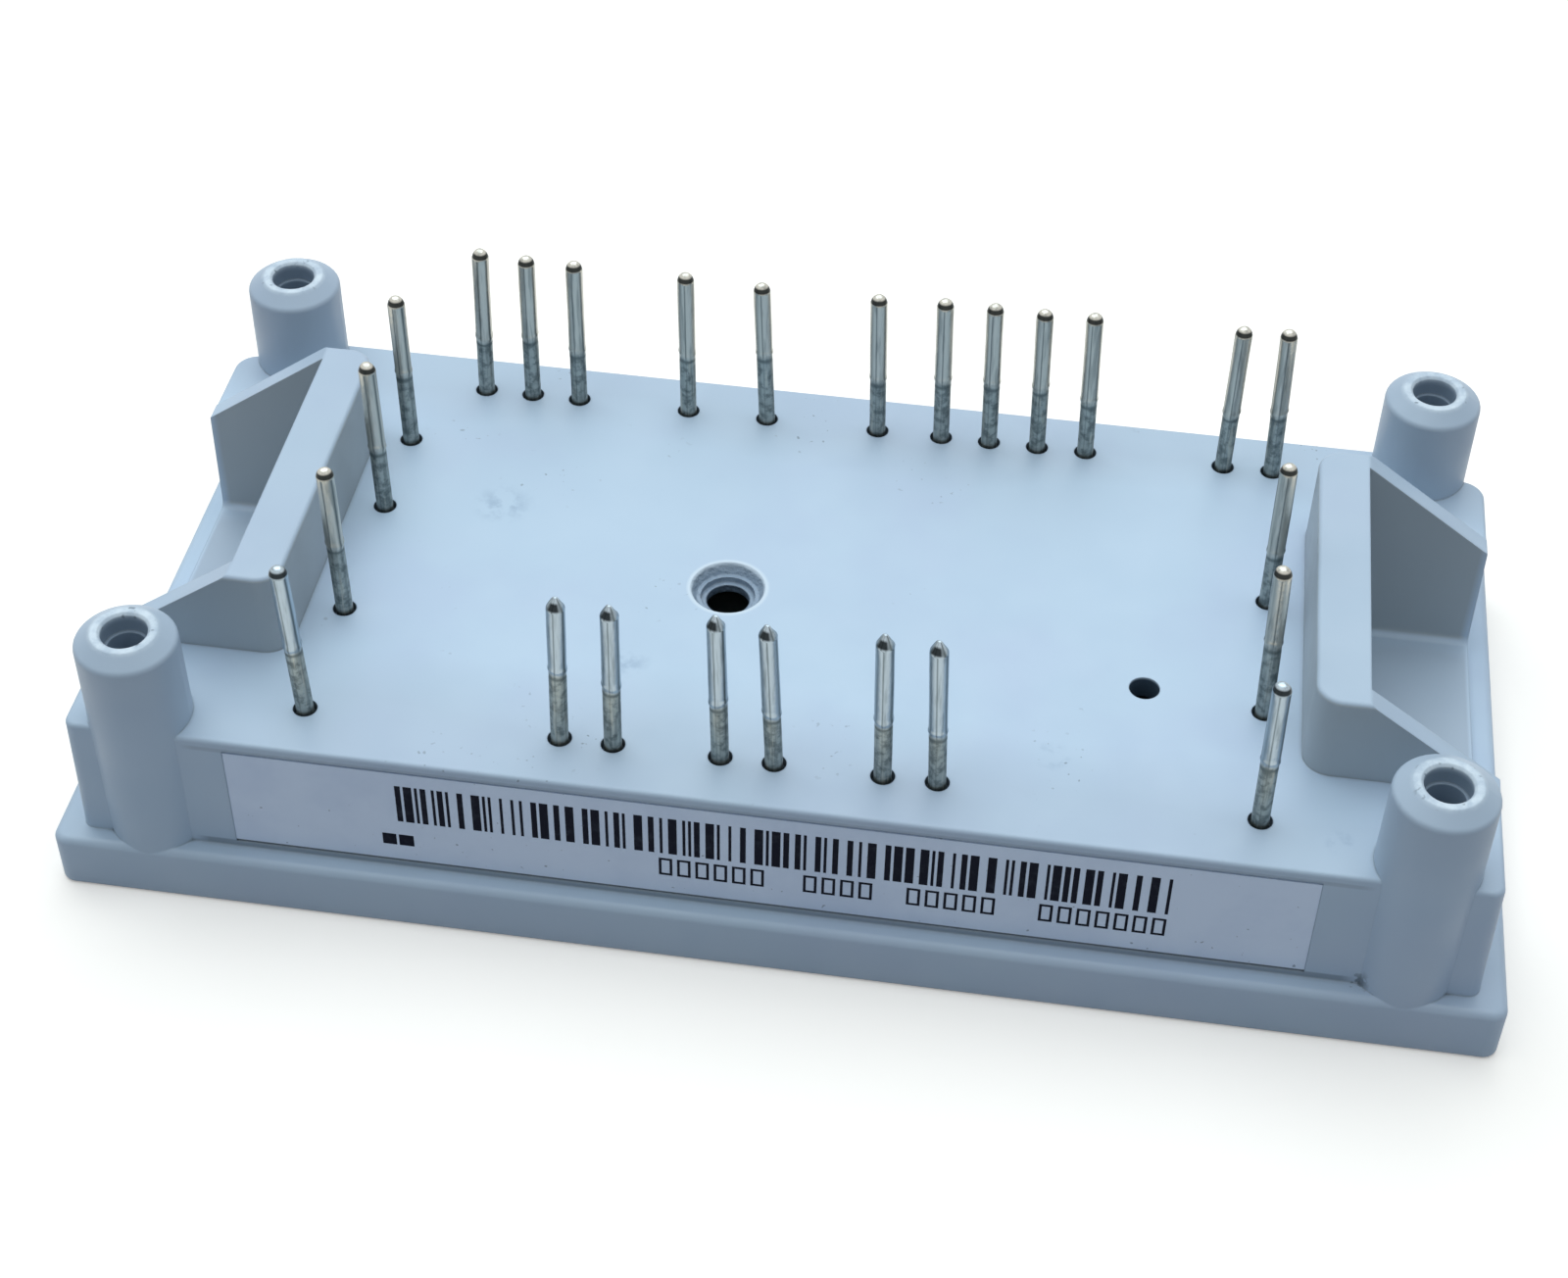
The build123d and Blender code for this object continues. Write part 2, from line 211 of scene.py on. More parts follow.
housingFinish = {
    "body": "#C1D3E4",
    "cloud": "#BAC6DE",
    # painted shade: the grey laid on the cover's bands, the raised walls and posts, and the pockets
    "film": "#A7B4C3",
    "wallShade": "#A8AFB2",
    "smudge": "#8FA6BE",
    "rubbed": "#EAF2F8",
    "dent": "#5B6A78",
    "shade": "#66788A",
    # dark dirt for the specks and the grime, and painted shade for the wall lines and corners
    "dirtAndShade": "#26323C",
    "holeShade": "#223C52",
    "roughness": (0.40, 0.54),
    "ior": 1.57,
    # how strongly each coat covers what is under it, 1 for fully
    "strengths": {
        "cloud": 0.45, "coverShade": 0.4, "raisedGreyShade": 0.5, "pocketShade": 0.7, "wallShade": 0.8,
        "smudge": 0.55, "speck": 0.5, "grime": 0.6, "ring": 0.75, "dent": 0.8, "screwHole": 0.5,
        "lip": 0.5, "funnel": 0.6, "vent": 0.9, "bore": 0.6, "corner": 0.8},
    # patterns: size in mm, noise level where they start, level where they are full, detail
    "clouds": (14.0, 0.38, 0.7, 3.0),
    "blotches": (1.1, 0.42, 0.66, 3.0),
    "specks": (0.42, 0.70, 0.76, 1.0),
    "speckZones": (9.0, 0.56, 0.68),
    "crumbs": (0.8, 0.5, 0.6, 3.0),
    "wornEdge": (0.9, 0.2, 0.72, 4.0),
    "dents": (0.5, 0.64, 0.74, 1.0),
    "waves": (6.0, 0.2, 0.8, 1.0),
    "gelLumps": (0.7, 0.3, 0.7, 3.0),
    "glossPatches": (5.0, 0.3, 0.7, 3.0),
    "grainSize": 0.16,  # mm, a spark-eroded grain drawn coarser than real so that it shows
    "grainBump": {"Strength": 0.10, "Distance": 0.02 * mm},
    "waveBump": {"Strength": 0.3, "Distance": 0.05 * mm},
    "lumpBump": {"Strength": 0.7, "Distance": 0.12 * mm},
    "edgeRadius": 0.14,  # mm, soft moulded edges
    "crevice": 0.55,  # mm, reach of the painted shade along a foot line
    "openness": (0.64, 0.30),  # share of open sky where that painted shade starts, and where it is full
    "grooveShade": 0.2,  # share of that painted shade left in the narrow groove round the label
    "uprightLevels": (0.7, 0.3),  # rise of a face's normal where it starts to count as upright
    "shadeSway": (18.0, 8.0),  # mm, size and reach of the wandering of the painted shade's edge
    "smudges": [(-19.5, 4.2, 2.2), (-9.5, -8.0, 1.6),
                (15.0, -11.6, 1.3), (30.8, -15.6, 1.2)],  # x, y and radius in mm
    "smudgeCore": 0.2,  # share of the radius where a smudge is full
    "grime": (32.9, -18.1, 0.9),  # x, y and radius of dirt at the foot of the front right post
    "grimeCore": 0.4,
    # centres in mm; the first two are taken with their mirror images
    "pocketPlace": (36.6, 0),
    "postPlace": (35.4, 16.41),
    "fillPlace": (-4.85, -0.95),
    "ventPlace": (19.78, -5.45),
    # bands in mm: from, to, softness; along y
    "shadeBands": [(-openEnd, -7.5, 2.0), (17.0, openEnd, 2.0)],
    "frontWall": (-18.4, -17.5, 0.05),
    # heights over the heatsink plane; the cover is at 11.9 and the posts end at 18.2
    "wallShadowLines": [((3.72, 4.12, 0.06), 0.42), ((11.12, 11.4, 0.06), 0.22)],  # with strengths
    "grimeHeights": (3.4, 4.5, 0.4),
    "labelHeights": (4.2, 11.3, 0.05),
    "wallShadeHeights": (4.6, openEnd, 0.2),
    "coverHeights": (11.6, 12.4, 0.05),
    "underCover": (0, 11.78, 0.08),
    # painted shade: heights of the grey on the raised walls and posts
    "filmHeights": (15.1, openEnd, 3.0),
    "pocketHeights": (0, 16.9, 0.5),
    "screwHeights": (0, 17.8, 0.15),
    "crownHeights": (17.9, 19.2, 0.08),
    # distances from the short and from the long middle line
    "pocketSpan": (31.5, 39.4, 0.1),
    "wallShadeSpan": (27.5, 39.2, 0.2),
    "lineSpan": (-openEnd, 32.4, 0.4),
    "wallShadeAcross": (-openEnd, 11.2, 0.2),
    # distances from the centres above
    "pocketReach": (-openEnd, 9, 1.0),
    "ringBand": (1.2, 1.9, 0.16),
    "screwHole": (-openEnd, 1.35, 0.05),
    "lipBand": (2.08, 2.4, 0.08),
    "funnelHole": (-openEnd, 2.15, 0.05),
    "boreHole": (-openEnd, 1.32, 0.04),
    "ventHole": (-openEnd, 0.925, 0.04),
}


def mouldedHousing(finish):
    # coats of paint over the bare colour, then rounded edges and three bumps
    material, tree = newMaterial("mouldedPbtGrained")
    coord = addNode(tree, "ShaderNodeTexCoord").outputs["Object"]
    xyz = addNode(tree, "ShaderNodeSeparateXYZ", {0: coord})
    height = xyz.outputs[2]
    much = finish["strengths"]
    colour = paintOver(tree, linearColour(finish["body"]), finish["cloud"], much["cloud"],
                       patches(tree, coord, *finish["clouds"]))

    # painted shade: greyer along the front and the back of the cover, with a wandering edge
    size, reach = finish["shadeSway"]
    sway = addNode(tree, "ShaderNodeTexNoise", {
        "Vector": coord, "Scale": 1 / (size * mm), "Detail": 1.0})
    shifted = addNode(tree, "ShaderNodeMath", {
        0: sway.outputs["Fac"], 1: reach * mm, 2: xyz.outputs[1]},
        operation="MULTIPLY_ADD").outputs[0]
    for band in finish["shadeBands"]:
        colour = paintOver(tree, colour, finish["film"], much["coverShade"],
                           bandMask(tree, shifted, *band))

    # the same grey high on the raised walls and posts, painted shade on their shaded faces, and
    # stronger in the clamp pockets as their painted shade
    ends = addNode(tree, "ShaderNodeMath", {0: xyz.outputs[0]}, operation="ABSOLUTE").outputs[0]
    colour = paintOver(tree, colour, finish["film"], much["raisedGreyShade"],
                       bandMask(tree, height, *finish["filmHeights"]))
    nearPocket = planDistance(tree, xyz, finish["pocketPlace"], True)
    colour = paintOver(tree, colour, finish["film"], much["pocketShade"],
                       bandMask(tree, ends, *finish["pocketSpan"]),
                       bandMask(tree, nearPocket, *finish["pocketReach"]),
                       bandMask(tree, height, *finish["pocketHeights"]))

    # painted shade: a greyer tone on the upright faces of the pocket walls
    normal = addNode(tree, "ShaderNodeNewGeometry").outputs["Normal"]
    rise = addNode(tree, "ShaderNodeSeparateXYZ", {0: normal}).outputs[2]
    level = addNode(tree, "ShaderNodeMath", {0: rise}, operation="ABSOLUTE").outputs[0]
    least, most = finish["uprightLevels"]
    upright = addNode(tree, "ShaderNodeMapRange", {
        "Value": level, "From Min": least, "From Max": most}).outputs[0]
    across = addNode(tree, "ShaderNodeMath", {0: xyz.outputs[1]}, operation="ABSOLUTE").outputs[0]
    colour = paintOver(tree, colour, finish["wallShade"], much["wallShade"], upright,
                       bandMask(tree, ends, *finish["wallShadeSpan"]),
                       bandMask(tree, across, *finish["wallShadeAcross"]),
                       bandMask(tree, height, *finish["wallShadeHeights"]))

    # finger smudges and small dark specks on the cover
    blotch = patches(tree, coord, *finish["blotches"])
    speck = patches(tree, coord, *finish["specks"])
    atCover = bandMask(tree, height, *finish["coverHeights"])
    for x, y, radius in finish["smudges"]:
        near = addNode(tree, "ShaderNodeMapRange", {
            "Value": planDistance(tree, xyz, (x, y)),
            "From Min": radius * mm, "From Max": finish["smudgeCore"] * radius * mm},
            interpolation_type="SMOOTHSTEP").outputs[0]
        colour = paintOver(tree, colour, finish["smudge"], much["smudge"], near, blotch, atCover)
    zone = patches(tree, coord, *finish["speckZones"])
    colour = paintOver(tree, colour, finish["dirtAndShade"], much["speck"], speck, zone, atCover)

    # dirt left in the corner between the front right post, the wall and the flange
    x, y, radius = finish["grime"]
    dirty = addNode(tree, "ShaderNodeMapRange", {
        "Value": planDistance(tree, xyz, (x, y)),
        "From Min": radius * mm, "From Max": finish["grimeCore"] * radius * mm}).outputs[0]
    colour = paintOver(tree, colour, finish["dirtAndShade"], much["grime"], dirty,
                       patches(tree, coord, *finish["crumbs"]),
                       bandMask(tree, height, *finish["grimeHeights"]))

    # painted shadow lines along the front wall, under the label and over it
    for band, strength in finish["wallShadowLines"]:
        colour = paintOver(tree, colour, finish["dirtAndShade"], strength,
                           bandMask(tree, height, *band),
                           bandMask(tree, xyz.outputs[1], *finish["frontWall"]),
                           bandMask(tree, ends, *finish["lineSpan"]))

    # chalky worn ring round each screw hole, broken by noise, with small dark dents in it, and
    # painted shade inside the hole
    fromPost = planDistance(tree, xyz, finish["postPlace"], True)
    rim = bandMask(tree, fromPost, *finish["ringBand"])
    onTop = bandMask(tree, height, *finish["crownHeights"])
    ragged = patches(tree, coord, *finish["wornEdge"])
    colour = paintOver(tree, colour, finish["rubbed"], much["ring"], rim, onTop, ragged)
    colour = paintOver(tree, colour, finish["dent"], much["dent"], rim, onTop,
                       patches(tree, coord, *finish["dents"]))
    colour = paintOver(tree, colour, finish["shade"], much["screwHole"],
                       bandMask(tree, fromPost, *finish["screwHole"]),
                       bandMask(tree, height, *finish["screwHeights"]))

    # pale lip round the filling hole, and painted shade in its funnel, in its bore and inside the
    # vent
    fromFill = planDistance(tree, xyz, finish["fillPlace"])
    fromVent = planDistance(tree, xyz, finish["ventPlace"])
    lip = bandMask(tree, fromFill, *finish["lipBand"])
    bore = bandMask(tree, fromFill, *finish["boreHole"])
    vent = bandMask(tree, fromVent, *finish["ventHole"])
    funnel = bandMask(tree, fromFill, *finish["funnelHole"])
    below = bandMask(tree, height, *finish["underCover"])
    colour = paintOver(tree, colour, finish["rubbed"], much["lip"], lip, atCover)
    colour = paintOver(tree, colour, finish["shade"], much["funnel"], funnel, below)
    colour = paintOver(tree, colour, finish["holeShade"], much["vent"], vent, below)
    colour = paintOver(tree, colour, finish["holeShade"], much["bore"], bore, below)

    # painted shade in narrow corners, from ambient occlusion
    corner = addNode(tree, "ShaderNodeAmbientOcclusion", {
        "Distance": finish["crevice"] * mm}, samples=8)
    start, full = finish["openness"]
    closed = addNode(tree, "ShaderNodeMapRange", {
        "Value": corner.outputs["AO"], "From Min": start, "From Max": full},
        interpolation_type="SMOOTHSTEP").outputs[0]
    inRecess = addNode(tree, "ShaderNodeMapRange", {
        "Value": bandMask(tree, height, *finish["labelHeights"]),
        "To Min": 1.0, "To Max": finish["grooveShade"]}).outputs[0]
    colour = paintOver(tree, colour, finish["dirtAndShade"], much["corner"], closed, inRecess)

    # rounded edges, tool grain, a slow wave, and lumps of dried gel in the filling hole
    rounded = addNode(tree, "ShaderNodeBevel", {"Radius": finish["edgeRadius"] * mm}, samples=6)
    grain = addNode(tree, "ShaderNodeTexNoise", {
        "Vector": coord, "Scale": 1 / (finish["grainSize"] * mm), "Detail": 2.0, "Roughness": 0.6})
    bump = addNode(tree, "ShaderNodeBump", {
        **finish["grainBump"], "Height": grain.outputs["Fac"], "Normal": rounded.outputs[0]})
    wave = addNode(tree, "ShaderNodeBump", {
        **finish["waveBump"], "Height": patches(tree, coord, *finish["waves"]),
        "Normal": bump.outputs[0]})
    lumps = addNode(tree, "ShaderNodeMath", {
        0: patches(tree, coord, *finish["gelLumps"]), 1: funnel}, operation="MULTIPLY")
    wet = addNode(tree, "ShaderNodeBump", {
        **finish["lumpBump"], "Height": lumps.outputs[0], "Normal": wave.outputs[0]})
    smooth, rough = finish["roughness"]
    polish = addNode(tree, "ShaderNodeMapRange", {
        "Value": patches(tree, coord, *finish["glossPatches"]), "To Min": smooth, "To Max": rough})
    shader = addNode(tree, "ShaderNodeBsdfPrincipled", {
        "Base Color": colour, "Roughness": polish.outputs[0], "IOR": finish["ior"],
        "Normal": wet.outputs[0]})
    addNode(tree, "ShaderNodeOutputMaterial", {"Surface": shader.outputs[0]})
    return material


dressNode("housing", mouldedHousing(housingFinish))
print("housing dressed")


# Label: printed polyester film, satin, with plain bars, frames and blocks in place of the print
# It gives the eye a slightly paler, smoother strip than the wall, with faint clouds and flecks.

labelFinish = {
    "film": "#E4EEFF",
    "worn": "#D0DCF2",
    "fleck": "#56616E",
    "ink": "#05091A",
    "roughness": 0.34,
    "inkRoughness": 0.7,
    "ior": 1.57,
    # patterns: size in mm, noise level where they start, level where they are full, detail
    "clouds": (7.0, 0.38, 0.7, 4.0),
    "flecks": (0.4, 0.735, 0.78, 1.0),
    "waves": (2.5, 0.2, 0.8),
    "inkWear": (0.8, 0.5, 0.85, 3.0),
    "strengths": {"cloud": 0.6, "fleck": 0.6, "inkWear": 0.04},
    "waveBump": {"Strength": 0.2, "Distance": 0.03 * mm},
    "barHeights": (7.3, 10.1),  # mm, the strip of bars
    "barEnds": (-20.7, 22.2),
    "unit": 0.16,  # mm, width of the thinnest bar
    "frameHeights": (5.55, 6.9),  # mm, the row of empty frames under the bars
    "frameGroups": [(-5.9, 6), (2.2, 4), (7.95, 5), (15.25, 7)],  # start in mm, and count
    "framePitch": 1.03,  # mm
    "frameWidth": 0.76,
    "stroke": 0.15,
    "blocks": [(-21.7, -20.9), (-20.75, -19.9)],
    "blockHeights": (5.35, 6.2),
    "inkThickness": 0.012,
    "filmEnds": (-30.39, 29.99),  # mm, the film reaches to the ends of its recess
    "filmHeights": (4.19, 11.05),
    "filmThickness": 0.08,
    "filmDepth": 0.04,  # mm of film face below the wall
    "wallY": -18.0,
    "coverHeight": 11.9,
    "draft": 1.0,  # degrees
}


def labelFilm(finish):
    material, tree = newMaterial("printedPolyesterFilm")
    coord = addNode(tree, "ShaderNodeTexCoord").outputs["Object"]
    much = finish["strengths"]
    colour = paintOver(tree, linearColour(finish["film"]), finish["worn"], much["cloud"],
                       patches(tree, coord, *finish["clouds"]))
    colour = paintOver(tree, colour, finish["fleck"], much["fleck"],
                       patches(tree, coord, *finish["flecks"]))
    wave = addNode(tree, "ShaderNodeBump", {
        **finish["waveBump"], "Height": patches(tree, coord, *finish["waves"])})
    shader = addNode(tree, "ShaderNodeBsdfPrincipled", {
        "Base Color": colour, "Roughness": finish["roughness"], "IOR": finish["ior"],
        "Normal": wave.outputs[0]})
    addNode(tree, "ShaderNodeOutputMaterial", {"Surface": shader.outputs[0]})
    return material


def printInk(finish):
    # waxy ribbon ink gives the eye a nearly black matte mark, a little worn
    material, tree = newMaterial("thermalTransferInk")
    coord = addNode(tree, "ShaderNodeTexCoord").outputs["Object"]
    colour = paintOver(tree, linearColour(finish["ink"]), finish["worn"],
                       finish["strengths"]["inkWear"], patches(tree, coord, *finish["inkWear"]))
    shader = addNode(tree, "ShaderNodeBsdfPrincipled", {
        "Base Color": colour, "Roughness": finish["inkRoughness"], "IOR": 1.5,
        "Specular IOR Level": 0.1})
    addNode(tree, "ShaderNodeOutputMaterial", {"Surface": shader.outputs[0]})
    return material


def wallBoxes(finish, name, spans, outer, inner):
    # thin boxes that follow the tilted wall, from spans of x and z and two depths below the wall:
    # y = wallY - (coverHeight - z) * tan(draft) + depth
    spans = np.array(spans)
    slope = math.tan(math.radians(finish["draft"]))
    wall = finish["wallY"] - (finish["coverHeight"] - spans[:, 2:]) * slope
    back, front = wall + inner, wall + outer
    low = [back[:, 0], back[:, 0], front[:, 0], front[:, 0]]
    high = [back[:, 1], back[:, 1], front[:, 1], front[:, 1]]
    corners = np.stack([spans[:, [0, 1, 1, 0, 0, 1, 1, 0]], np.stack(low + high, axis=-1),
                        spans[:, [2, 2, 2, 2, 3, 3, 3, 3]]], axis=-1)
    box = np.array([[0, 1, 2, 3], [7, 6, 5, 4], [2, 6, 7, 3],
                    [1, 5, 6, 2], [0, 4, 5, 1], [3, 7, 4, 0]])
    faces = (np.arange(len(spans))[:, None, None] * 8 + box[None]).reshape(-1, 4)
    mesh = bpy.data.meshes.new(name)
    mesh.from_pydata((corners.reshape(-1, 3) * mm).tolist(), [], faces.tolist())
    return mesh


def filmSheet(finish):
    # one thin box between the ends and heights of the film
    face = finish["filmDepth"]
    span = (*finish["filmEnds"], *finish["filmHeights"])
    return wallBoxes(finish, "labelFilm", [span], face, face + finish["filmThickness"])


def printedMarks(finish):
    # bars of one to three units, empty frames in groups and two blocks, in place of the print
    spans = []
    x = finish["barEnds"][0]
    while x < finish["barEnds"][1]:
        wide = finish["unit"] * rng.integers(1, 4)
        spans.append((x, min(x + wide, finish["barEnds"][1]), *finish["barHeights"]))
        x += wide + finish["unit"] * rng.integers(1, 4)
    low, high = finish["frameHeights"]
    line = finish["stroke"]
    for start, count in finish["frameGroups"]:
        for x in start + finish["framePitch"] * np.arange(count):
            end = x + finish["frameWidth"]
            spans += [(x, x + line, low, high), (end - line, end, low, high),
                      (x + line, end - line, low, low + line),
                      (x + line, end - line, high - line, high)]
    spans += [(x, end, *finish["blockHeights"]) for x, end in finish["blocks"]]
    face = finish["filmDepth"]
    return wallBoxes(finish, "labelMarks", spans, face - finish["inkThickness"], face)


addPiece("labelFilm", filmSheet(labelFinish), labelFilm(labelFinish), ["label"])
addPiece("labelMarks", printedMarks(labelFinish), printInk(labelFinish))
print("label dressed")


# Solder pins: drawn copper wire, tin plated, with the upper half dipped in solder
# Dipped tin is bright with long drawing lines, and the plate below is darker, mottled and rough.
# A bead marks the end of the dip. The front tips are sheared to a point with painted shade on their
# sheared sides, and the others end in a round cap over a ring of painted shade.

pinFinish = {
    "shadedTin": "#C8C6BC",
    "litFrontTin": "#B2C0C9",  # painted reflection: the front row is lighter and cooler, as it mirrors the white floor
    "frontRow": (-openEnd, -13.0, 0.2),  # mm along y: from, to, softness
    "line": "#4C5759",
    "dull": "#A4ADAB",
    "stain": "#5F696A",
    "dried": "#C9C8BC",
    "chamfer": "#141B1D",
    "roughness": (0.5, 0.32),  # plated, dipped
    "metallic": 0.92,
    # patterns: size in mm, noise level where they start, level where they are full, detail
    "mottle": (0.5, 0.4, 0.66, 4.0),
    "streaks": (0.35, 0.55, 0.7),
    "wear": (0.28, 0.45, 0.7),
    "lumps": (0.35, 0.2, 0.8, 3.0),
    "stretch": 0.1,  # streaks and wear run ten times as long along the wire
    "strengths": {"stain": 0.8, "dried": 0.5, "wear": 0.4, "darkLine": 0.8, "tipShade": 0.95},
    "lineStrength": (0.5, 1.0),  # share of a drawing line's strength, plated and dipped
    "lumpBump": {"Strength": 0.4, "Distance": 0.03 * mm},
    "radius": 0.5,  # mm
    "footRadius": 0.8,
    "footBase": 1.23,
    "footHeight": 0.6,
    "footFlat": 0.6,  # share of the foot's radius at the first row, under it
    "footBevel": 0.12,
    "footNeck": 0.1,  # mm from the foot up to the wire's own radius
    # rows of the shaft in mm: height of the first, reach of the dense rows up and down from the
    # end of the coat, distance of the rows next to them from it, distance of the last from the tip;
    # and how many there are below, among and above the dense rows
    "shaftRows": {"first": 3.0, "dense": 0.6, "next": 0.9, "last": 0.05, "counts": (7, 15, 8)},
    "cover": 11.9,
    "tip": 22.5,
    # a tip's rows stand at these parts of its length, with radii as parts of the wire's radius
    "tipRows": [0.0, 0.12, 0.35, 0.6, 0.85, 0.95, 1.0],
    "pointed": {"length": 0.75, "radii": [1.03, 0.97, 0.76, 0.54, 0.33, 0.24, 0.12], "pinch": 0.28},
    "rounded": {"length": 0.52, "radii": [1.03, 0.98, 0.90, 0.76, 0.52, 0.34, 0.10], "pinch": 0.08},
    "ringTurn": 0.3,  # turns; a round cap reads this column of the map all round, which puts a ring of painted shade under it
    "dipLevel": (15.9, 17.4),  # mm, lowest and highest end of the dipped coat
    "coat": 0.016,
    "coatRamp": 0.07,
    "bead": 0.04,
    "beadPlace": (0.1, 0.14),  # mm over the end of the coat, and its half height
    "sag": (0.12, 0.08, 0.4),  # mm, wave and drop of the coat's end, and their half height
    "ripples": [(0.007, 2, 0.9), (0.004, 5, 0.3)],  # mm high, waves round the wire, turn per mm
    "rippleStart": 0.6,  # mm below the end of the coat
    "twist": 0.45,  # radians, largest turn of a tip
    "columns": 32,
    # drawing lines and dull strips along the wire, the darkest ones, near its -X and +X sides,
    # partly painted shade: turns from +X, half width in turns, strength
    "lines": [(0.06, 0.03, 0.6), (0.22, 0.04, 0.6), (0.38, 0.03, 0.6), (0.52, 0.045, 0.9),
              (0.62, 0.08, 0.42), (0.735, 0.022, 0.75), (0.92, 0.045, 0.9)],
    "facets": [(0.12, 0.38, 0.04), (0.62, 0.88, 0.04)],  # the sheared sides of a tip in turns, which get painted shade
    "turnJitter": 0.02,  # turns, largest shift of the map round a pin
    # levels of the map at the foot, the end of the coat, the start of the tip and its end
    "mapLevels": [0.0, 0.5, 0.9, 1.0],
    "dipEdge": (0.488, 0.502),
    "darkLine": (0.482, 0.490, 0.003),  # from, to, softness
    "tipShade": (0.907, 0.962, 0.008),
    # x and y offset of each tip in mm, back row, front row, left and right column
    "leans": [(0.17, 0.30), (0.08, 0.07), (0.05, 0.02), (-0.06, -0.03),
              (-0.35, -0.30), (-0.24, -0.30), (-0.26, -0.04), (-0.26, -0.03),
              (-0.28, -0.12), (-0.31, 0.0), (0.02, 0.15), (-0.35, 0.30),
              (0.23, 0.02), (0.15, -0.14), (-0.20, 0.0),
              (-0.40, -0.30), (-0.24, 0.02), (-0.42, -0.02),
              (-0.19, 0.40), (-0.23, 0.28), (-0.08, -0.08), (-0.35, -0.04),
              (-0.16, -0.16), (-0.34, 0.36), (-0.22, -0.30)],
}


def pinShape(finish, centre, dip, lean, end):
    # surface of revolution: radius and height are functions of a row number v,
    # the coat adds its thickness above the dip line and a bead at the line itself,
    # each row is rippled by sine waves in the angle u,
    # and the tip is pinched by a cosine of 2 (u - twist);
    # above the cover the axis leans by lean * (z - cover) / (tip - cover)
    wire, foot = finish["radius"], finish["footRadius"]
    base, cover, tip = finish["footBase"], finish["cover"], finish["tip"]
    neck = base + finish["footHeight"]
    shoulder = tip - end["length"]
    tipCount = len(finish["tipRows"])
    rows, bevel = finish["shaftRows"], finish["footBevel"]
    below, among, above = rows["counts"]
    z = np.concatenate([
        [base, base, neck - bevel, neck, neck + finish["footNeck"]],
        np.linspace(rows["first"], dip - rows["next"], below),
        np.linspace(dip - rows["dense"], dip + rows["dense"], among),
        np.linspace(dip + rows["next"], shoulder - rows["last"], above),
        shoulder + end["length"] * np.array(finish["tipRows"]),
    ])
    radius = np.full_like(z, wire)
    radius[:5] = [foot * finish["footFlat"], foot, foot, foot - bevel, wire]
    shaft = slice(5, -tipCount)
    radius[shaft] += finish["coat"] / (1 + np.exp(-(z[shaft] - dip) / finish["coatRamp"]))
    lift, half = finish["beadPlace"]
    radius[shaft] += finish["bead"] * np.exp(-((z[shaft] - dip - lift) / half) ** 2)
    radius[-tipCount:] = wire * np.array(end["radii"])
    u = np.linspace(0, 2 * np.pi, finish["columns"], endpoint=False)[None]
    v = z[:, None]
    phase = rng.uniform(0, 2 * np.pi, 4)
    ripple = sum(high * np.sin(count * u + shift + v * turn)
                 for (high, count, turn), shift in zip(finish["ripples"], phase))
    around = radius[:, None] + ripple * (v > dip - finish["rippleStart"]) * (v < shoulder)
    pinch = end["pinch"] * np.clip((v - shoulder) / end["length"], 0, 1)
    twist = finish["twist"] * np.cos(phase[3])
    around = around * (1 + pinch * np.cos(2 * (u - twist)))
    wave, drop, reach = finish["sag"]
    sag = (wave * np.sin(u + phase[2]) - drop) * np.exp(-((v - dip) / reach) ** 2)
    bent = np.clip((v - cover) / (tip - cover), 0, 1)
    points = np.stack([centre[0] + lean[0] * bent + around * np.cos(u),
                       centre[1] + lean[1] * bent + around * np.sin(u), v + sag], axis=-1)
    along = np.interp(z, [z[0], dip, shoulder, tip], finish["mapLevels"])
    jitter = finish["turnJitter"]
    turns = np.linspace(0, 1, finish["columns"] + 1) + rng.uniform(-jitter, jitter)
    uv = np.stack(np.broadcast_arrays(turns[None], along[:, None]), axis=-1)
    if end is finish["rounded"]:
        uv[-tipCount:, :, 0] = finish["ringTurn"]
    else:
        uv[-tipCount:, :, 0] -= twist / (2 * np.pi)
    return points * mm, uv


def mapBand(tree, value, low, high, soft):
    # a band between two levels of the map, which has no millimetres
    return bandMask(tree, value, low / mm, high / mm, soft / mm)


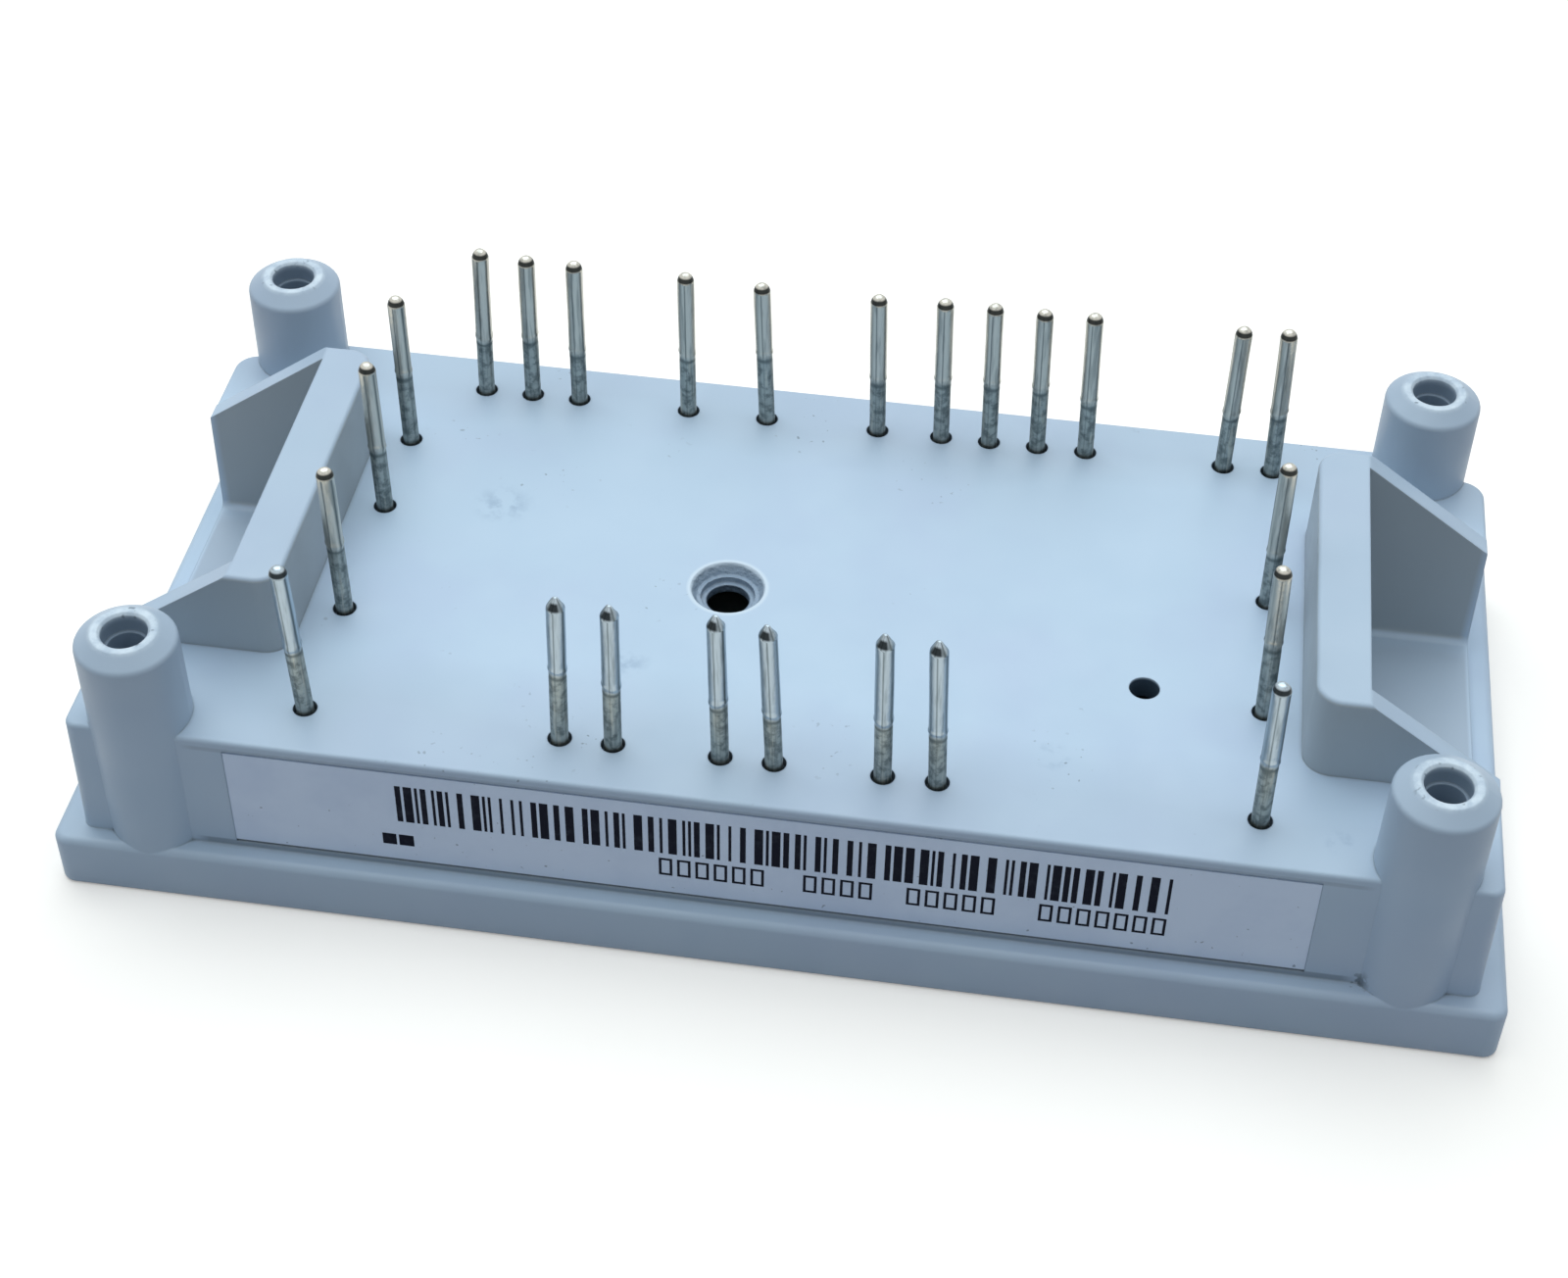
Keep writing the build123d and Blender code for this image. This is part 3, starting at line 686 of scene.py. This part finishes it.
def dippedTin(finish):
    material, tree = newMaterial("dippedTinOnDrawnCopper")
    coord = addNode(tree, "ShaderNodeTexCoord")
    place = coord.outputs["Object"]
    uv = addNode(tree, "ShaderNodeSeparateXYZ", {0: coord.outputs["UV"]})
    around, along = uv.outputs[0], uv.outputs[1]
    stretched = addNode(tree, "ShaderNodeMapping", {
        "Vector": place, "Scale": (1, 1, finish["stretch"])}).outputs[0]
    much = finish["strengths"]
    low, high = finish["dipEdge"]
    dipped = addNode(tree, "ShaderNodeMapRange", {
        "Value": along, "From Min": low, "From Max": high},
        interpolation_type="SMOOTHSTEP").outputs[0]
    colour = paintOver(tree, linearColour(finish["dull"]), finish["stain"], much["stain"],
                       patches(tree, place, *finish["mottle"]))
    colour = paintOver(tree, colour, finish["dried"], much["dried"],
                       patches(tree, stretched, *finish["streaks"]))
    y = addNode(tree, "ShaderNodeSeparateXYZ", {0: place}).outputs[1]
    inFront = bandMask(tree, y, *finish["frontRow"])
    # painted shade and reflection: a darker tone for the dipped tin, and a lighter one on the front
    # row
    colour = paintOver(tree, colour, finish["shadedTin"], 1.0, dipped)
    colour = paintOver(tree, colour, finish["litFrontTin"], 1.0, dipped, inFront)
    colour = paintOver(tree, colour, finish["line"], much["wear"],
                       patches(tree, stretched, *finish["wear"]))

    # drawing lines along the wire, stronger on the dipped part; the darkest, near the sides, are
    # partly painted shade
    plated, bright = finish["lineStrength"]
    strength = addNode(tree, "ShaderNodeMapRange", {
        "Value": dipped, "To Min": plated, "To Max": bright}).outputs[0]
    for turn, half, amount in finish["lines"]:
        strip = mapBand(tree, around, turn - half / 2, turn + half / 2, half / 2)
        colour = paintOver(tree, colour, finish["line"], amount, strip, strength)

    # thin dark line under the bead, and painted shade on the sheared sides or in the ring of the
    # tip
    colour = paintOver(tree, colour, finish["stain"], much["darkLine"],
                       mapBand(tree, along, *finish["darkLine"]))
    chamfer = mapBand(tree, along, *finish["tipShade"])
    for band in finish["facets"]:
        facet = mapBand(tree, around, *band)
        colour = paintOver(tree, colour, finish["chamfer"], much["tipShade"], chamfer, facet)
    plated, bright = finish["roughness"]
    rough = addNode(tree, "ShaderNodeMapRange", {
        "Value": dipped, "To Min": plated, "To Max": bright})
    bump = addNode(tree, "ShaderNodeBump", {
        **finish["lumpBump"], "Height": patches(tree, place, *finish["lumps"])})
    shader = addNode(tree, "ShaderNodeBsdfPrincipled", {
        "Base Color": colour, "Roughness": rough.outputs[0], "Metallic": finish["metallic"],
        "Normal": bump.outputs[0]})
    addNode(tree, "ShaderNodeOutputMaterial", {"Surface": shader.outputs[0]})
    return material


pinNodes = sorted(n for n in frame["nodes"] if n.startswith("pin_"))
pinMaterial = dippedTin(pinFinish)
for node, lean in zip(pinNodes, pinFinish["leans"]):
    low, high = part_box(node)
    centre = ((low[0] + high[0]) / 2 / mm, (low[1] + high[1]) / 2 / mm)
    end = pinFinish["pointed" if node.startswith("pin_front") else "rounded"]
    points, uv = pinShape(pinFinish, centre, rng.uniform(*pinFinish["dipLevel"]), lean, end)
    mesh = gridMesh(node + "_tinned", points, uv, True)
    addPiece(node + "_tinned", mesh, pinMaterial, [node])
print("pins made:", len(pinNodes))


# Inner pieces: plain finishes, because the housing hides them

innerLook = {
    "strength": 0.7,
    # noise level where the shade starts, level where it is full, detail
    "pattern": (0.35, 0.7, 3.0),
}


def plainMaterial(name, colour, shade, roughness, metallic=0.0, size=1.0, transmission=0.0):
    # two tones in soft patches about size mm across
    material, tree = newMaterial(name)
    coord = addNode(tree, "ShaderNodeTexCoord").outputs["Object"]
    tone = paintOver(tree, linearColour(colour), shade, innerLook["strength"],
                     patches(tree, coord, size, *innerLook["pattern"]))
    shader = addNode(tree, "ShaderNodeBsdfPrincipled", {
        "Base Color": tone, "Roughness": roughness, "Metallic": metallic,
        "Transmission Weight": transmission})
    addNode(tree, "ShaderNodeOutputMaterial", {"Surface": shader.outputs[0]})
    return material


innerFinishes = {
    # white and matte, with faint firing clouds
    "alumina_ceramic": plainMaterial("firedAlumina", "#E6E4DC", "#D2CFC4", 0.55, size=2.0),
    # salmon pink, dulled in patches by air
    "copper_foil": plainMaterial("bondedCopperBrushed", "#C98A66", "#A86C4C", 0.34, 1.0, 3.0),
    # clear and faintly milky
    "silicone_gel": plainMaterial("pottedSiliconeGel", "#B9C2BE", "#A8B2AE", 0.15,
                                  transmission=0.6),
    # mirror grey
    "silicon_chip": plainMaterial("metallisedSilicon", "#8C9097", "#74787F", 0.3, 0.9),
    # black and dry
    "thermistor_body": plainMaterial("sinteredOxide", "#2A2A2C", "#1D1D1F", 0.6),
    # soft bright metal
    "aluminium_ribbon": plainMaterial("bondedAluminiumRibbon", "#D4D6D8", "#B9BCC0", 0.3, 1.0),
}
for sub in frame["record"]["subparts"]:
    if sub["material_slot"] in innerFinishes:
        dressNode(sub["node"], innerFinishes[sub["material_slot"]])
print("inner pieces dressed")


# Floor, lamp and sky

studio = {
    "floorSize": 3.0,  # m
    "floorDrop": 0.00002,  # m below the underside
    "floorSeen": "#FFF5EC",
    "floorLift": 0.27,
    "floorBounce": (0.345, 0.375, 0.44, 1.0),
    "daylight": (0.83, 0.94, 1.0),
    "skyTop": 0.48,
    "skySide": 0.14,
    "keyPlace": (-0.08, 0.18, 0.60),  # m
    "keyAim": (0.0, 0.0, 0.0),
    "keySize": 0.8,
    "keyPower": 3.85,
}


def seenRays(tree):
    # 1 for rays that see: from the camera, in a reflection or through glass
    path = addNode(tree, "ShaderNodeLightPath")
    direct = addNode(tree, "ShaderNodeMath", {
        0: path.outputs["Is Camera Ray"], 1: path.outputs["Is Glossy Ray"]}, operation="ADD")
    return addNode(tree, "ShaderNodeMath", {
        0: direct.outputs[0], 1: path.outputs["Is Transmission Ray"]},
        operation="ADD", use_clamp=True).outputs[0]


def makeFloor(settings):
    half = settings["floorSize"] / 2
    side = np.linspace(-half, half, 3)
    x, y = np.meshgrid(side, side)
    level = np.full_like(x, -settings["floorDrop"])
    mesh = gridMesh("studioFloor", np.stack([x, y, level], axis=-1))
    material, tree = newMaterial("paleStudioPaper")
    seen = addNode(tree, "ShaderNodeBsdfDiffuse", {"Color": linearColour(settings["floorSeen"])})
    lift = addNode(tree, "ShaderNodeEmission", {"Strength": settings["floorLift"]})
    paper = addNode(tree, "ShaderNodeAddShader", {0: seen.outputs[0], 1: lift.outputs[0]})
    bounce = addNode(tree, "ShaderNodeBsdfDiffuse", {"Color": settings["floorBounce"]})
    mix = addNode(tree, "ShaderNodeMixShader", {
        0: seenRays(tree), 1: bounce.outputs[0], 2: paper.outputs[0]})
    addNode(tree, "ShaderNodeOutputMaterial", {"Surface": mix.outputs[0]})
    mesh.materials.append(material)
    floor = bpy.data.objects.new("studioFloor", mesh)
    scene.collection.objects.link(floor)


def makeSky(settings):
    # a soft dome, brighter overhead, that is white where it is seen
    world = bpy.data.worlds.new("studioSky")
    scene.world = world
    world.use_nodes = True
    tree = world.node_tree
    tree.nodes.clear()
    coord = addNode(tree, "ShaderNodeTexCoord").outputs["Generated"]
    height = addNode(tree, "ShaderNodeSeparateXYZ", {0: coord}).outputs[2]
    level = addNode(tree, "ShaderNodeMapRange", {
        "Value": height, "From Min": 0.0, "From Max": 0.9,
        "To Min": settings["skySide"], "To Max": settings["skyTop"]}).outputs[0]
    dome = addNode(tree, "ShaderNodeBackground", {
        "Color": (*settings["daylight"], 1), "Strength": level})
    white = addNode(tree, "ShaderNodeBackground", {"Color": (1, 1, 1, 1), "Strength": 1.0})
    mix = addNode(tree, "ShaderNodeMixShader", {
        0: seenRays(tree), 1: dome.outputs[0], 2: white.outputs[0]})
    addNode(tree, "ShaderNodeOutputWorld", {"Surface": mix.outputs[0]})


def addSoftbox(name, place, aim, size, power, tint):
    lamp = bpy.data.lights.new(name, "AREA")
    lamp.shape = "SQUARE"
    lamp.size = size
    lamp.energy = power
    lamp.color = tint
    box = bpy.data.objects.new(name, lamp)
    direction = np.array(aim) - np.array(place)
    flat = math.hypot(direction[0], direction[1])
    box.location = place
    box.rotation_euler = (math.pi / 2 - math.atan2(-direction[2], flat), 0.0,
                          math.atan2(direction[1], direction[0]) - math.pi / 2)
    scene.collection.objects.link(box)


makeFloor(studio)
makeSky(studio)
addSoftbox("keySoftbox", studio["keyPlace"], studio["keyAim"], studio["keySize"],
           studio["keyPower"], studio["daylight"])
scene.view_settings.view_transform = "Standard"
print("studio lit")
